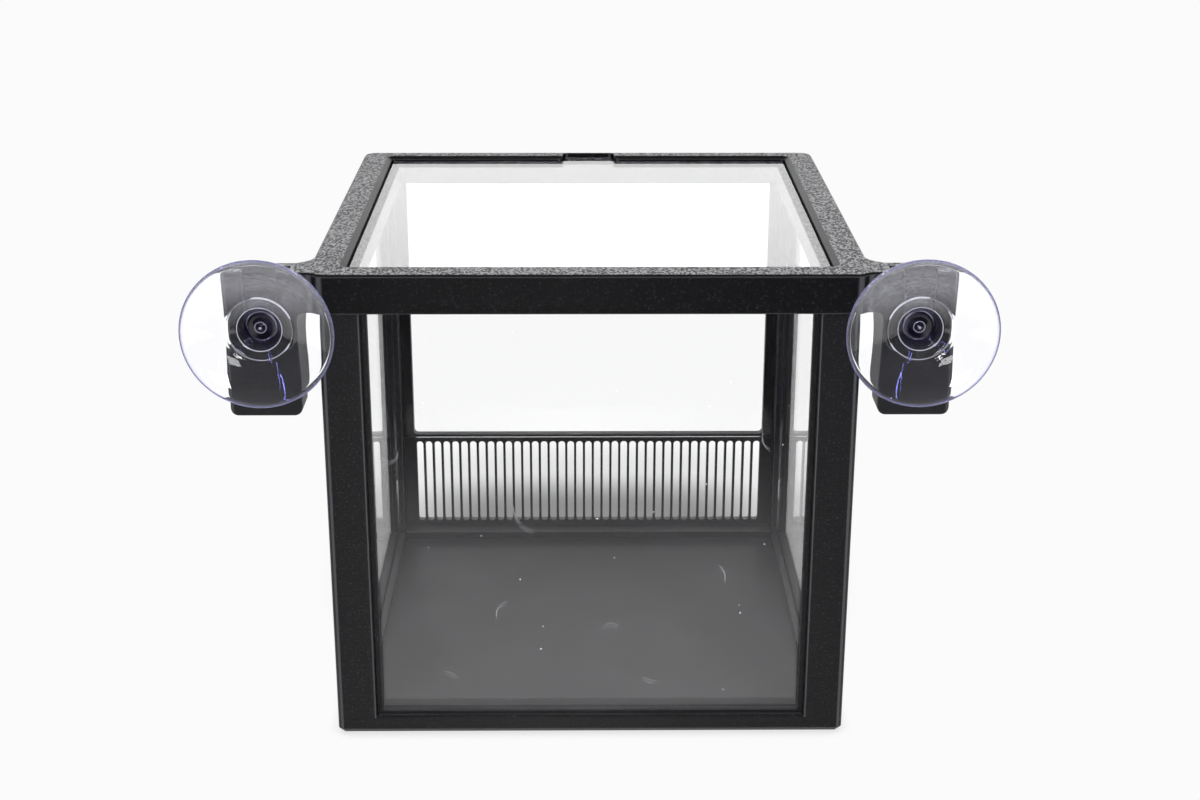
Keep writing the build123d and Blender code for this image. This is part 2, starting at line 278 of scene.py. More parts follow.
@dataclass(frozen=True)
class PrintedPlastic(Finish):
    """Black printed plastic: ridged by its layers on upright faces, with another finish on level ones."""

    flat_finish: FlatFinish
    colour: Colour = (0.0044, 0.0044, 0.0044)
    flat_colour: Colour = (0.03, 0.03, 0.0302)
    # painted highlight colour for outer edges and round corner posts
    edge_highlight_colour: Colour = (0.06, 0.06, 0.061)
    # painted reflection of the white table on upright faces low down
    table_reflection_colour: Colour = (0.012, 0.012, 0.0122)
    table_reflection_range_mm: Span = (-2.0, -1.0)
    level_range: Span = (0.93, 0.985)
    roughness: float = 0.32
    flat_roughness: float = 0.42
    roughness_swing: float = 0.12
    roughness_scale: float = 0.06
    roughness_middle: float = 0.5
    specular: float = 0.14
    layer_mm: float = 0.2
    ridge_depth_mm: float = 0.034
    streak_mm: float = 7.0
    fine_rough: float = 0.6
    pore_mm: float = 0.45
    pore_depth_mm: float = 0.03
    speck_range: Span = (0.56, 0.74)
    speck_gain: Span = (1.1, 6.0)
    grain_mm: Triple = (0.42, 0.62, 0.42)
    grain_depth_mm: float = 0.12
    grain_range: Span = (0.42, 0.6)
    grain_dark: Colour = (0.02, 0.02, 0.02)
    # pale crests of the plate grain: real grain with painted glints and sheen
    grain_and_glint_colour: Colour = (0.36, 0.36, 0.358)
    stroke_mm: float = 0.45
    stroke_depth_mm: float = 0.002
    cloud_mm: float = 14.0
    cloud_range: Span = (0.3, 0.7)
    cloud_gain: Span = (0.78, 1.22)
    edge_mm: float = 0.4
    edge_turn: Span = (0.995, 0.88)
    corner_mm: float = 1.2
    corner_open: Span = (0.72, 0.92)
    post_turn: Span = (0.06, 0.22)
    post_end: Span = (0.42, 0.62)
    post_highlight: float = 0.8
    upright_range: Span = (0.2, 0.5)

    def build(self) -> Material:
        """Make the material.

        Returns:
            The material.
        """
        level = self.ramp(self.size_of(self.sides["Z"]), self.level_range)
        pores = self.noise(self.place, 1 / self.pore_mm, rough=self.fine_rough)
        stretched = self.vector("DIVIDE", self.place, self.grain_mm)
        grain = self.noise(stretched, 1.0, detail=1.0, rough=self.fine_rough)
        height = self.mix(level, self.upright_height(pores), self.flat_height(grain))
        rounded = self.add("ShaderNodeBevel", {"Radius": self.edge_mm * MM}, samples=4).outputs[0]
        bump = self.add("ShaderNodeBump", {"Distance": MM, "Height": height, "Normal": rounded})
        # painted highlight: a lighter colour on outer edges and round corner posts stands in for lamp light
        # caught on them
        upright = self.blend(self.edge_highlights(rounded), self.upright_look(pores), self.edge_highlight_colour)
        colour = self.blend(level, upright, self.flat_look(grain))
        swing = self.math("SUBTRACT", self.noise(self.place, self.roughness_scale), self.roughness_middle)
        roughness = self.math("ADD", self.mix(level, self.roughness, self.flat_roughness),
                              self.product(swing, self.roughness_swing))
        skin = self.add("ShaderNodeBsdfPrincipled",
                        {"Base Color": colour, "Roughness": roughness, "Normal": bump.outputs[0],
                         "Specular IOR Level": self.specular})
        return self.end(skin)

    def upright_look(self, pores: Socket) -> Socket:
        """The upright faces' colour: light specks at the pores, and a paler tone low down as a painted
        reflection of the white table.

        Args:
            pores: random values as coarse as the pores.

        Returns:
            The colour.
        """
        plain, light = (self.shade(self.colour, gain) for gain in self.speck_gain)
        speckled = self.blend(self.ramp(pores, self.speck_range), plain, light)
        # painted reflection: faces low down turn paler, standing in for the white table they mirror
        low = self.ramp(self.xyz["Z"], self.table_reflection_range_mm, (1.0, 0.0))
        return self.blend(low, speckled, self.table_reflection_colour)

    def edge_highlights(self, rounded: Socket) -> Socket:
        """Where upright edges get a painted highlight, from 0 to 1.

        Args:
            rounded: the surface's normal with the edges softened.

        Returns:
            One on the outer edges and on the round corner posts, none in inner corners.
        """
        turned = self.add("ShaderNodeVectorMath", {0: self.normal, 1: rounded}, operation="DOT_PRODUCT")
        edge = self.ramp(turned.outputs["Value"], self.edge_turn)
        open_sky = self.add("ShaderNodeAmbientOcclusion", {"Distance": self.corner_mm * MM},
                            samples=4, only_local=True)
        outer = self.ramp(open_sky.outputs["AO"], self.corner_open)
        aside = self.size_of(self.sides["X"])
        post = self.product(self.ramp(aside, self.post_turn),
                            self.ramp(aside, self.post_end, (self.post_highlight, 0.0)))
        upright = self.ramp(self.size_of(self.sides["Z"]), self.upright_range, (1.0, 0.0))
        return self.math("MAXIMUM", self.product(edge, outer), self.product(post, upright))

    @staticmethod
    def shade(colour: Colour, amount: float) -> Colour:
        """A colour, lighter or darker."""
        return tuple(amount * part for part in colour)

    def flat_look(self, grain: Socket) -> Socket:
        """The level faces' colour: soft clouds, or light crests and dark pits of a plate's grain, the light
        crests being real grain with painted glints and sheen.

        Args:
            grain: random values as coarse as the plate's grain.

        Returns:
            The colour.
        """
        if self.flat_finish is FlatFinish.PLATE_GRAIN:
            # painted glints and sheen: the grain's pale crests stand in for the backdrop's light caught on
            # the rough top
            return self.blend(self.ramp(grain, self.grain_range), self.grain_dark, self.grain_and_glint_colour)
        cloud = self.ramp(self.noise(self.place, 1 / self.cloud_mm), self.cloud_range, smooth=False)
        return self.blend(cloud, *(self.shade(self.flat_colour, gain) for gain in self.cloud_gain))

    def upright_height(self, pores: Socket) -> Socket:
        """The relief of the upright faces, in millimetres: one rounded ridge for each layer, and pores.

        Args:
            pores: random values as coarse as the pores.

        Returns:
            The height.
        """
        turn = self.product(self.xyz["Z"], math.pi / self.layer_mm)
        wave = self.size_of(self.math("SINE", turn))
        stretch = (1 / self.streak_mm, 1 / self.streak_mm, 0.5 / self.layer_mm)
        uneven = self.noise(self.vector("MULTIPLY", self.place, stretch), 1.0, rough=self.fine_rough)
        ridges = self.product(self.math("ADD", wave, uneven), self.ridge_depth_mm)
        return self.math("ADD", ridges, self.product(pores, self.pore_depth_mm))

    def flat_height(self, grain: Socket) -> Socket:
        """The relief of the level faces, in millimetres.

        Args:
            grain: random values as coarse as the plate's grain.

        Returns:
            The height.
        """
        if self.flat_finish is FlatFinish.PLATE_GRAIN:
            return self.product(grain, self.grain_depth_mm)
        turn = self.product(self.xyz["Y"], 2 * math.pi / self.stroke_mm)
        waves = self.product(self.math("SINE", turn), self.stroke_depth_mm / 2)
        return self.math("ADD", waves, self.product(grain, self.stroke_depth_mm))


@dataclass(frozen=True)
class ClearSheet(Finish):
    """Clear acrylic sheet with a little dust, a few fine hairs and, where set, edges painted near black as
    shade.
    """

    tint: Colour = (0.997, 0.998, 0.998)
    ior: float = 1.49
    roughness: float = 0.0
    dust_spacing_mm: float = 4.2
    dust_mm: float = 0.11
    dust_share: float = 0.25
    dust_show: float = 0.6
    dust_core: float = 0.6
    shaded_edges: bool = True
    # painted shade colour of the sheet's upper and lower edges
    edge_shade_colour: Colour = (0.006, 0.006, 0.006)
    hairs_mm: tuple[tuple[float, ...], ...] = ()
    hair_width_mm: float = 0.07
    hair_show: float = 0.19
    hair_core: float = 0.3
    facing: float = 0.5

    def build(self) -> Material:
        """Make the material, marked on its front face alone where it has hairs.

        Returns:
            The material.
        """
        marks_and_edge_shade = self.math("MAXIMUM", self.dust(), self.hairs())
        if self.hairs_mm:
            marks_and_edge_shade = self.product(marks_and_edge_shade, self.math("LESS_THAN", self.sides["Y"], -self.facing))
        colour: object = self.tint
        # painted shade: the upper and lower edges turn opaque near black, as shade where they are seated
        if self.shaded_edges:
            edge = self.math("GREATER_THAN", self.size_of(self.sides["Z"]), self.facing)
            marks_and_edge_shade = self.math("MAXIMUM", marks_and_edge_shade, edge)
            colour = self.blend(edge, self.tint, self.edge_shade_colour)
        sheet = self.add("ShaderNodeBsdfPrincipled",
                         {"Base Color": colour, "Roughness": self.roughness, "IOR": self.ior,
                          "Transmission Weight": self.math("SUBTRACT", 1.0, marks_and_edge_shade, clamp=True)})
        return self.end_clear(sheet, self.tint)

    def hairs(self) -> object:
        """Where fine curved hairs lie, from 0 to 1.

        Returns:
            The strength of the hairs.
        """
        total: object = 0.0
        for across, up, radius, middle, reach in self.hairs_mm:
            aside = self.math("SUBTRACT", self.xyz["X"], across)
            above = self.math("SUBTRACT", self.xyz["Z"], up)
            off = self.size_of(self.math("SUBTRACT", self.length(self.point(x=aside, z=above)), radius))
            line = self.ramp(off, (self.hair_width_mm * self.hair_core, self.hair_width_mm),
                             (self.hair_show, 0.0))
            turn = math.radians(middle)
            toward = self.math("ADD", self.product(aside, math.cos(turn)),
                               self.product(above, math.sin(turn)))
            near = self.math("GREATER_THAN", toward, radius * math.cos(math.radians(reach)))
            total = self.math("MAXIMUM", total, self.product(line, near))
        return total

    def dust(self) -> Socket:
        """Where specks of dust lie, from 0 to 1.

        Returns:
            The strength of the dust.
        """
        cells = self.add("ShaderNodeTexVoronoi",
                         {"Vector": self.place, "Scale": 1 / self.dust_spacing_mm}).outputs
        near = self.ramp(self.product(cells["Distance"], self.dust_spacing_mm),
                         (self.dust_mm * self.dust_core, self.dust_mm), (1.0, 0.0))
        pick = self.add("ShaderNodeSeparateColor", {0: cells["Color"]}).outputs[0]
        return self.product(near, self.math("LESS_THAN", pick, self.dust_share), self.dust_show)


@dataclass(frozen=True)
class ClearRubber(Finish):
    """Clear soft plastic, violet at its edge and thick hub, with painted highlights as pale lines on two fine
    moulded rings and the lip.
    """

    axis_mm: Point
    lip_y_mm: float
    edge_mm: Span = (13.35, 14.05)
    hub_mm: Span = (3.6, 4.4)
    rings_mm: tuple[Span, ...] = ((6.25, 0.13), (1.05, 0.12), (0.0, 0.6))
    ring_depths_mm: Span = (3.9, 5.0)
    mouth_mm: Span = (4.12, 0.15)
    mouth_depth_mm: float = 3.75
    ring_core: Span = (0.3, 0.6)
    ring_highlight_share: float = 0.42
    lip_highlight_share: float = 0.13
    top_sheen_share: Span = (0.004, 0.07)
    top_sheen_range_mm: Span = (0.0, 10.0)
    spot_scale: float = 2.2
    spot_rough: float = 0.7
    spot_range: Span = (0.3, 0.7)
    spot_gain: Span = (0.4, 1.6)
    wave_scale: float = 0.22
    wave_depth_mm: float = 0.02
    tint: Colour = (0.95, 0.95, 0.965)
    edge_tint: Colour = (0.45, 0.45, 0.85)
    hub_tint: Colour = (0.3, 0.28, 0.48)
    ring_highlight_tint: Colour = (0.9, 0.9, 0.95)
    ior: float = 1.49
    roughness: float = 0.02

    def build(self) -> Material:
        """Make the material.

        Returns:
            The material.
        """
        radius = self.radius()
        edge = self.ramp(radius, self.edge_mm)
        hub = self.ramp(radius, self.hub_mm, (1.0, 0.0))
        ring_glint = self.ring_highlights(radius)
        colour = self.blend(hub, self.blend(edge, self.tint, self.edge_tint), self.hub_tint)
        colour = self.blend(ring_glint, colour, self.ring_highlight_tint)
        # painted highlights: pale lines on the rings and the lip stand in for light caught at their edges
        milky = self.math("ADD", ring_glint, self.product(edge, self.lip_highlight_share))
        milky = self.math("ADD", milky, self.top_sheen())
        bump = self.add("ShaderNodeBump", {"Distance": self.wave_depth_mm * MM,
                                           "Height": self.noise(self.place, self.wave_scale, detail=1.0)})
        skin = self.add("ShaderNodeBsdfPrincipled",
                        {"Base Color": colour, "Roughness": self.roughness, "IOR": self.ior,
                         "Transmission Weight": self.math("SUBTRACT", 1.0, milky, clamp=True),
                         "Normal": bump.outputs[0]})
        return self.end_clear(skin, self.tint)

    @cached_property
    def above_axis(self) -> Socket:
        """Height above the cups' axis, in millimetres."""
        return self.math("SUBTRACT", self.xyz["Z"], self.axis_mm[1])

    def radius(self) -> Socket:
        """Distance from the nearer cup's axis, in millimetres."""
        across = self.math("SUBTRACT", self.size_of(self.xyz["X"]), self.axis_mm[0])
        return self.length(self.point(x=across, z=self.above_axis))

    def ring(self, radius: Socket, ring: Span) -> Socket:
        """How strongly one fine ring's painted highlight whitens the surface.

        Args:
            radius: distance from the cup's axis.
            ring: the ring's own radius and width.

        Returns:
            The milkiness, from 0 to 1.
        """
        off = self.size_of(self.math("SUBTRACT", radius, ring[0]))
        core = (ring[1] * self.ring_core[0], ring[1] * self.ring_core[1])
        return self.ramp(off, core, (self.ring_highlight_share, 0.0))

    def ring_highlights(self, radius: Socket) -> Socket:
        """Where painted highlights whiten the surface: the fine moulded rings, the pit's mouth and the gate
        mark.

        Args:
            radius: distance from the cup's axis.

        Returns:
            The milkiness, from 0 to 1.
        """
        depth = self.math("SUBTRACT", self.xyz["Y"], self.lip_y_mm)
        inside = self.product(self.math("GREATER_THAN", depth, self.ring_depths_mm[0]),
                              self.math("LESS_THAN", depth, self.ring_depths_mm[1]))
        total: object = 0.0
        for ring in self.rings_mm:
            total = self.math("ADD", total, self.ring(radius, ring))
        mouth = self.product(self.ring(radius, self.mouth_mm),
                             self.math("LESS_THAN", depth, self.mouth_depth_mm))
        return self.math("MAXIMUM", mouth, self.math("MULTIPLY", total, inside, clamp=True))

    def top_sheen(self) -> Socket:
        """A thin pale veil that grows towards the top of the disc as painted light, broken into fine spots.

        Returns:
            The milkiness it adds.
        """
        spots = self.noise(self.place, self.spot_scale, rough=self.spot_rough)
        spots = self.ramp(spots, self.spot_range, self.spot_gain)
        # painted light: the pale veil grows towards the top of the disc, where the disc looks lit
        return self.product(spots, self.ramp(self.above_axis, self.top_sheen_range_mm, self.top_sheen_share))


def new_piece(name: str, mesh: Mesh, material: Material | None = None) -> Object:
    """Put a mesh into the scene as an object at the origin.

    Args:
        name: the object's name.
        mesh: its mesh.
        material: its only material, or none to keep what the mesh has.

    Returns:
        The object.
    """
    piece = bpy.data.objects.new(name, mesh)
    bpy.context.scene.collection.objects.link(piece)
    if material is not None:
        mesh.materials.clear()
        mesh.materials.append(material)
    return piece


def dress(node: str, material: Material) -> None:
    """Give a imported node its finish."""
    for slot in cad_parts[node].material_slots:
        slot.material = material


@dataclass(frozen=True)
class Profile:
    """Half a section of a turned piece, as points (radius, height along the axis) in metres."""

    points: tuple[Point, ...]
    axis_reach: float = 1e-7

    def turned(self, name: str, segments: int, onto: Matrix) -> Mesh:
        """Turn the profile about its axis into a closed mesh.

        Args:
            name: the mesh's name.
            segments: steps round the axis.
            onto: where the axis and its start go.

        Returns:
            The mesh, with poles closed and faces outwards.
        """
        build = bmesh.new()
        rings = [self.ring(build, radius, height, segments) for radius, height in self.points]
        for lower, upper in zip(rings, rings[1:]):
            for step in range(segments):
                after = (step + 1) % segments
                corners = [lower[step % len(lower)], lower[after % len(lower)],
                           upper[after % len(upper)], upper[step % len(upper)]]
                unique = list(dict.fromkeys(corners))
                if len(unique) > 2:
                    build.faces.new(unique)
        build.transform(onto)
        bmesh.ops.recalc_face_normals(build, faces=build.faces)
        for face in build.faces:
            face.smooth = True
        mesh = bpy.data.meshes.new(name)
        build.to_mesh(mesh)
        build.free()
        return mesh

    def ring(self, build: bmesh.types.BMesh, radius: float, height: float,
             segments: int) -> list[bmesh.types.BMVert]:
        """One ring of corners, or a single one on the axis.

        Args:
            build: the mesh under construction.
            radius: distance from the axis.
            height: place along the axis.
            segments: steps round the axis.

        Returns:
            The corners, in order.
        """
        if radius < self.axis_reach:
            return [build.verts.new((0.0, 0.0, height))]
        turns = [2 * math.pi * step / segments for step in range(segments)]
        return [build.verts.new((radius * math.cos(t), radius * math.sin(t), height)) for t in turns]


def arc(centre: Point, radius: float, start: float, end: float, steps: int) -> list[Point]:
    """Points on an arc, both ends included, with its angles in degrees."""
    turns = [math.radians(start + (end - start) * step / steps) for step in range(steps + 1)]
    return [(centre[0] + radius * math.cos(t), centre[1] + radius * math.sin(t)) for t in turns]


def hermite(start: Point, end: Point, speeds: Speeds, steps: int) -> list[Point]:
    """Points on a smooth curve between two points.

    Args:
        start: first point.
        end: last point.
        speeds: the curve's speed at its start and at its end.
        steps: number of stretches.

    Returns:
        The points, both ends included.
    """
    points = []
    for step in range(steps + 1):
        t = step / steps
        a, b = 2 * t ** 3 - 3 * t ** 2 + 1, t ** 3 - 2 * t ** 2 + t
        c, d = -2 * t ** 3 + 3 * t ** 2, t ** 3 - t ** 2
        points.append(tuple(a * p + b * u + c * q + d * v
                            for p, q, u, v in zip(start, end, *speeds)))
    return points


@dataclass
class SuctionCup:
    """One clear cup, turned: mushroom head, neck, hub and a thin bowl with a moulded pit and gate mark."""

    side: str
    head_radius: float = 5.0 * MM
    head_thickness: float = 2.0 * MM
    head_round: float = 0.6 * MM
    head_edge: float = 0.25 * MM
    neck_radius: float = 2.7 * MM
    neck_length: float = 2.6 * MM
    neck_fillet: float = 0.3 * MM
    collar_radius: float = 4.05 * MM
    collar_edge: float = 0.15 * MM
    collar_rise: float = 0.25 * MM
    hub_radius: float = 6.25 * MM
    hub_rise: float = 1.3 * MM
    hub_land: float = 0.1 * MM
    hub_curve: Speeds = ((1.2 * MM, 0.5 * MM), (2.0 * MM, 1.0 * MM))
    cup_radius: float = 14.0 * MM
    lip_thickness: float = 0.45 * MM
    lip_edge: float = 0.05 * MM
    back_curve: Speeds = ((7.5 * MM, 1.0 * MM), (5.0 * MM, 4.6 * MM))
    bowl_depth: float = 2.05 * MM
    bowl_curve: Speeds = ((-4.2 * MM, -2.6 * MM), (-6.0 * MM, -0.9 * MM))
    land: float = 0.7 * MM
    step: float = 0.1 * MM
    step_slant: float = 0.08 * MM
    step_land: float = 0.2 * MM
    funnel_curve: Speeds = ((-1.6 * MM, -0.9 * MM), (-1.6 * MM, -0.9 * MM))
    mouth_depth: float = 3.25 * MM
    mouth_round: float = 0.2 * MM
    mouth_land: float = 0.25 * MM
    pit_radius: float = 4.0 * MM
    pit_depth: float = 1.4 * MM
    pit_floor_radius: float = 3.3 * MM
    pit_round: float = 0.3 * MM
    nub_radius: float = 0.75 * MM
    nub_height: float = 0.45 * MM
    nub_tip: float = 0.25 * MM
    nub_foot: float = 0.05 * MM
    nub_land: float = 0.2 * MM
    nub_sink: float = 0.6
    nub_curve: Speeds = ((0.0, 0.9 * MM), (-0.7 * MM, 0.0))
    segments: int = 144

    @property
    def node(self) -> str:
        """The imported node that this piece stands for."""
        return f"{self.side}_suction_cup"

    def stem(self) -> list[Point]:
        """The rear part of the section: head and neck.

        Returns:
            The points, starting on the axis.
        """
        head, edge, fillet = self.head_thickness, self.head_edge, self.neck_fillet
        return [
            (0.0, 0.0),
            *arc((self.head_radius - self.head_round, self.head_round), self.head_round, -90, 0, steps=6),
            *arc((self.head_radius - edge, head - edge), edge, 0, 90, steps=4),
            *arc((self.neck_radius + fillet, head + fillet), fillet, 270, 180, steps=4),
            (self.neck_radius, head + self.neck_length),
        ]

    def back(self, length: float) -> list[Point]:
        """The back of the disc, from the collar to the edge.

        Args:
            length: the cup's length from the head's back to the lip.

        Returns:
            The points.
        """
        low = self.head_thickness + self.neck_length
        high = low + self.hub_rise
        return [
            (self.collar_radius - self.collar_edge, low),
            (self.collar_radius, low + self.collar_edge),
            *hermite((self.collar_radius, low + self.collar_rise), (self.hub_radius, high),
                     self.hub_curve, steps=6),
            *hermite((self.hub_radius + self.hub_land, high),
                     (self.cup_radius, length - self.lip_thickness), self.back_curve, steps=20),
        ]

    def front(self, length: float) -> list[Point]:
        """The front of the disc, from the edge over the ring step and down the pit to the gate mark.

        Args:
            length: the cup's length from the head's back to the lip.

        Returns:
            The points, ending on the axis.
        """
        half, turn = self.lip_thickness / 2, self.mouth_round
        inner = self.cup_radius - half - self.land
        ring = length - self.bowl_depth
        mouth = length - self.mouth_depth
        floor = mouth - self.pit_depth
        return [
            *arc((self.cup_radius - half, length - half), half, 0, 90, steps=5)[1:],
            (inner + self.lip_edge, length),
            *hermite((inner, length - self.lip_edge), (self.hub_radius, ring), self.bowl_curve, steps=22),
            (self.hub_radius - self.step_slant, ring - self.step),
            *hermite((self.hub_radius - self.step_land, ring - self.step),
                     (self.pit_radius + self.mouth_land, mouth), self.funnel_curve, steps=8),
            *arc((self.pit_radius + turn, mouth - turn), turn, 80, 180, steps=5),
            *arc((self.pit_floor_radius - self.pit_round, floor + self.pit_round), self.pit_round,
                 0, -90, steps=5),
            (self.nub_radius + self.nub_land, floor),
            *hermite((self.nub_radius, floor + self.nub_foot), (self.nub_tip, floor + self.nub_height),
                     self.nub_curve, steps=6),
            (0.0, floor + self.nub_sink * self.nub_height),
        ]

    def build(self, material: Material) -> Object:
        """Make the cup on its slot's axis and hang it on its body.

        Args:
            material: its finish.

        Returns:
            The piece.
        """
        low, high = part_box(self.node)
        middle, length = (low + high) / 2, high.y - low.y
        section = Profile(tuple(self.stem() + self.back(length) + self.front(length)))
        onto = Matrix.Translation((middle.x, high.y, middle.z)) @ Matrix.Rotation(math.radians(90), 4, "X")
        mesh = section.turned(f"{self.side}_cup", self.segments, onto)
        piece = new_piece(f"{self.side}_cup", mesh, material)
        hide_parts(self.node)
        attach(piece, f"{self.side}_cup")
        return piece


@dataclass
class SlottedGrille:
    """The rear panel: a field of upright slits inside a thicker border, laid out by a node tree."""

    slit_width: float = 1.6 * MM
    bar_width: float = 0.54 * MM
    slit_count: int = 39
    slit_bottom: float = 5.0 * MM
    slit_top: float = 25.7 * MM
    relief: float = 0.6 * MM
    border: float = 0.3 * MM
    arch_share: float = 0.49
    arch_steps: int = 6
    weld: float = 1e-6

    def tree(self, values: Mapping[str, object]) -> NodeTree:
        """Build the node tree that lays out the panel.

        Args:
            values: a value for each of its inputs, by name.

        Returns:
            A tree with named inputs for every size, ending in Realize Instances and Set Material.
        """
        tree = bpy.data.node_groups.new("slotted_grille", "GeometryNodeTree")
        kinds = {float: "NodeSocketFloat", int: "NodeSocketInt", Material: "NodeSocketMaterial"}
        for name, value in values.items():
            tree.interface.new_socket(name=name, in_out="INPUT", socket_type=kinds[type(value)])
        tree.interface.new_socket(name="Geometry", in_out="OUTPUT", socket_type="NodeSocketGeometry")
        graph = Graph(tree)
        given = tree.nodes.new("NodeGroupInput").outputs
        panel = self.rectangle(graph, given["Panel Width"], given["Panel Height"])
        thickness = graph.math("SUBTRACT", given["Panel Thickness"], given["Relief"])
        thin = self.plate(graph, [panel, self.slits(graph, given)], thickness)
        thin = self.moved(graph, thin, 0.0, 0.0, given["Relief"])
        field = self.rectangle(graph, given["Field Width"], given["Field Height"])
        field = self.moved(graph, field, 0.0, given["Slit Centre"])
        ring = self.plate(graph, [panel, field], given["Relief"])
        joined = graph.add("GeometryNodeJoinGeometry", {0: [thin, ring]})
        upright = graph.add("GeometryNodeTransform", {"Geometry": joined.outputs[0],
                                                      "Rotation": (math.pi / 2, 0.0, 0.0)})
        stood = self.moved(graph, upright.outputs[0], 0.0, given["Place Y"], given["Place Z"])
        real = graph.add("GeometryNodeRealizeInstances", {0: stood}).outputs[0]
        finished = graph.add("GeometryNodeSetMaterial", {"Geometry": real, "Material": given["Finish"]})
        tree.links.new(finished.outputs[0], tree.nodes.new("NodeGroupOutput").inputs[0])
        return tree

    def slits(self, graph: Graph, given: Sockets) -> Socket:
        """The slits' outlines, round at both ends, in a row about the middle.

        Args:
            graph: the tree's graph.
            given: the tree's inputs.

        Returns:
            The outlines as real curves.
        """
        slit = self.rectangle(graph, given["Slit Width"], given["Slit Height"])
        arched = graph.add("GeometryNodeFilletCurve",
                           {"Curve": slit, "Radius": graph.product(given["Slit Width"], self.arch_share),
                            "Count": self.arch_steps}, mode="POLY")
        gaps = graph.math("SUBTRACT", given["Slit Count"], 1.0)
        first = graph.point(graph.product(gaps, given["Slit Pitch"], -0.5), given["Slit Centre"])
        row = graph.add("GeometryNodeMeshLine", {"Count": given["Slit Count"], "Start Location": first,
                                                 "Offset": graph.point(given["Slit Pitch"])})
        placed = graph.add("GeometryNodeInstanceOnPoints",
                           {"Points": row.outputs[0], "Instance": arched.outputs[0]})
        return graph.add("GeometryNodeRealizeInstances", {0: placed.outputs[0]}).outputs[0]

    @staticmethod
    def rectangle(graph: Graph, width: Socket, height: Socket) -> Socket:
        """A closed rectangle about the origin."""
        return graph.add("GeometryNodeCurvePrimitiveQuadrilateral",
                         {"Width": width, "Height": height}).outputs[0]

    @staticmethod
    def moved(graph: Graph, geometry: Socket, *by: object) -> Socket:
        """Shift a geometry by three numbers or sockets."""
        return graph.add("GeometryNodeTransform",
                         {"Geometry": geometry, "Translation": graph.point(*by)}).outputs[0]

    def plate(self, graph: Graph, outlines: list[Socket], thickness: Socket) -> Socket:
        """Fill outlines, the inner ones as holes, and thicken the face to a closed plate.

        Args:
            graph: the tree's graph.
            outlines: the closed curves.
            thickness: how thick the plate is, upwards.

        Returns:
            The plate's mesh.
        """
        curves = graph.add("GeometryNodeJoinGeometry", {0: outlines})
        face = graph.add("GeometryNodeFillCurve", {0: curves.outputs[0]}).outputs[0]
        raised = graph.add("GeometryNodeExtrudeMesh", {"Mesh": face, "Offset": (0.0, 0.0, 1.0),
                                                       "Offset Scale": thickness, "Individual": False})
        under = graph.add("GeometryNodeFlipFaces", {0: face})
        both = graph.add("GeometryNodeJoinGeometry", {0: [raised.outputs[0], under.outputs[0]]}).outputs[0]
        return graph.add("GeometryNodeMergeByDistance", {"Geometry": both, "Distance": self.weld}).outputs[0]

    def build(self, material: Material) -> Object:
        """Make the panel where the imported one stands.

        Args:
            material: its finish.

        Returns:
            The piece.
        """
        low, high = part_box("rear_grille")
        pitch = self.slit_width + self.bar_width
        field = self.slit_count * pitch - self.bar_width + 2 * self.border
        middle_z, slit = (low.z + high.z) / 2, self.slit_top - self.slit_bottom
        values = {
            "Panel Width": high.x - low.x, "Panel Height": high.z - low.z, "Panel Thickness": high.y - low.y,
            "Relief": self.relief, "Slit Width": self.slit_width, "Slit Height": slit, "Slit Pitch": pitch,
            "Slit Centre": (self.slit_top + self.slit_bottom) / 2 - middle_z,
            "Field Width": field, "Field Height": slit + 2 * self.border,
            "Place Y": high.y, "Place Z": middle_z, "Slit Count": self.slit_count, "Finish": material,
        }
        piece = grown("grille", self.tree(values), values)
        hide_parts("rear_grille")
        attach(piece, "box")
        return piece


def grown(name: str, tree: NodeTree, values: Mapping[str, object]) -> Object:
    """Run a geometry tree once and keep its result as a plain mesh.

    Args:
        name: the piece's name.
        tree: the geometry tree.
        values: its inputs, by name.

    Returns:
        An object at the origin with the finished mesh and no modifier.
    """
    seed = new_piece(name + "_seed", bpy.data.meshes.new(name + "_seed"))
    modifier = seed.modifiers.new("layout", "NODES")
    modifier.node_group = tree
    for item in tree.interface.items_tree:
        if item.in_out == "INPUT":
            modifier[item.identifier] = values[item.name]
    bpy.context.view_layer.update()
    depsgraph = bpy.context.evaluated_depsgraph_get()
    mesh = bpy.data.meshes.new_from_object(seed.evaluated_get(depsgraph))
    mesh.name = name
    bpy.data.objects.remove(seed)
    return new_piece(name, mesh)


def aimed(aside: float, tilt: float, roll: float) -> Matrix:
    """Turn a lamp or camera aside, tilt it from level and roll it about its line of sight, in degrees."""
    steps = ((aside, "Z"), (90.0 - tilt, "X"), (roll, "Z"))
    return reduce(Matrix.__matmul__, (Matrix.Rotation(math.radians(angle), 4, axis) for angle, axis in steps))


@dataclass(frozen=True)
class SoftBox:
    """A rectangular lamp that looks at the box."""

    name: str
    azimuth: float
    elevation: float
    distance: float
    width: float
    height: float
    radiance: float
    colour: Colour = WHITE
    mirrored: bool = True
    roll: float = 0.0

    def build(self, target: Vector) -> None:
        """Hang the lamp.

        Args:
            target: the point it looks at.
        """
        data = bpy.data.lights.new(self.name, "AREA")
        data.shape = "RECTANGLE"
        data.size, data.size_y = self.width, self.height
        data.energy = self.radiance * math.pi * self.width * self.height
        data.color = self.colour
        lamp = bpy.data.objects.new(self.name, data)
        aim = aimed(self.azimuth, self.elevation, self.roll)
        lamp.matrix_world = Matrix.Translation(target) @ aim @ Matrix.Translation((0.0, 0.0, self.distance))
        lamp.visible_camera = False
        lamp.visible_glossy = self.mirrored
        lamp.visible_transmission = self.mirrored
        bpy.context.scene.collection.objects.link(lamp)


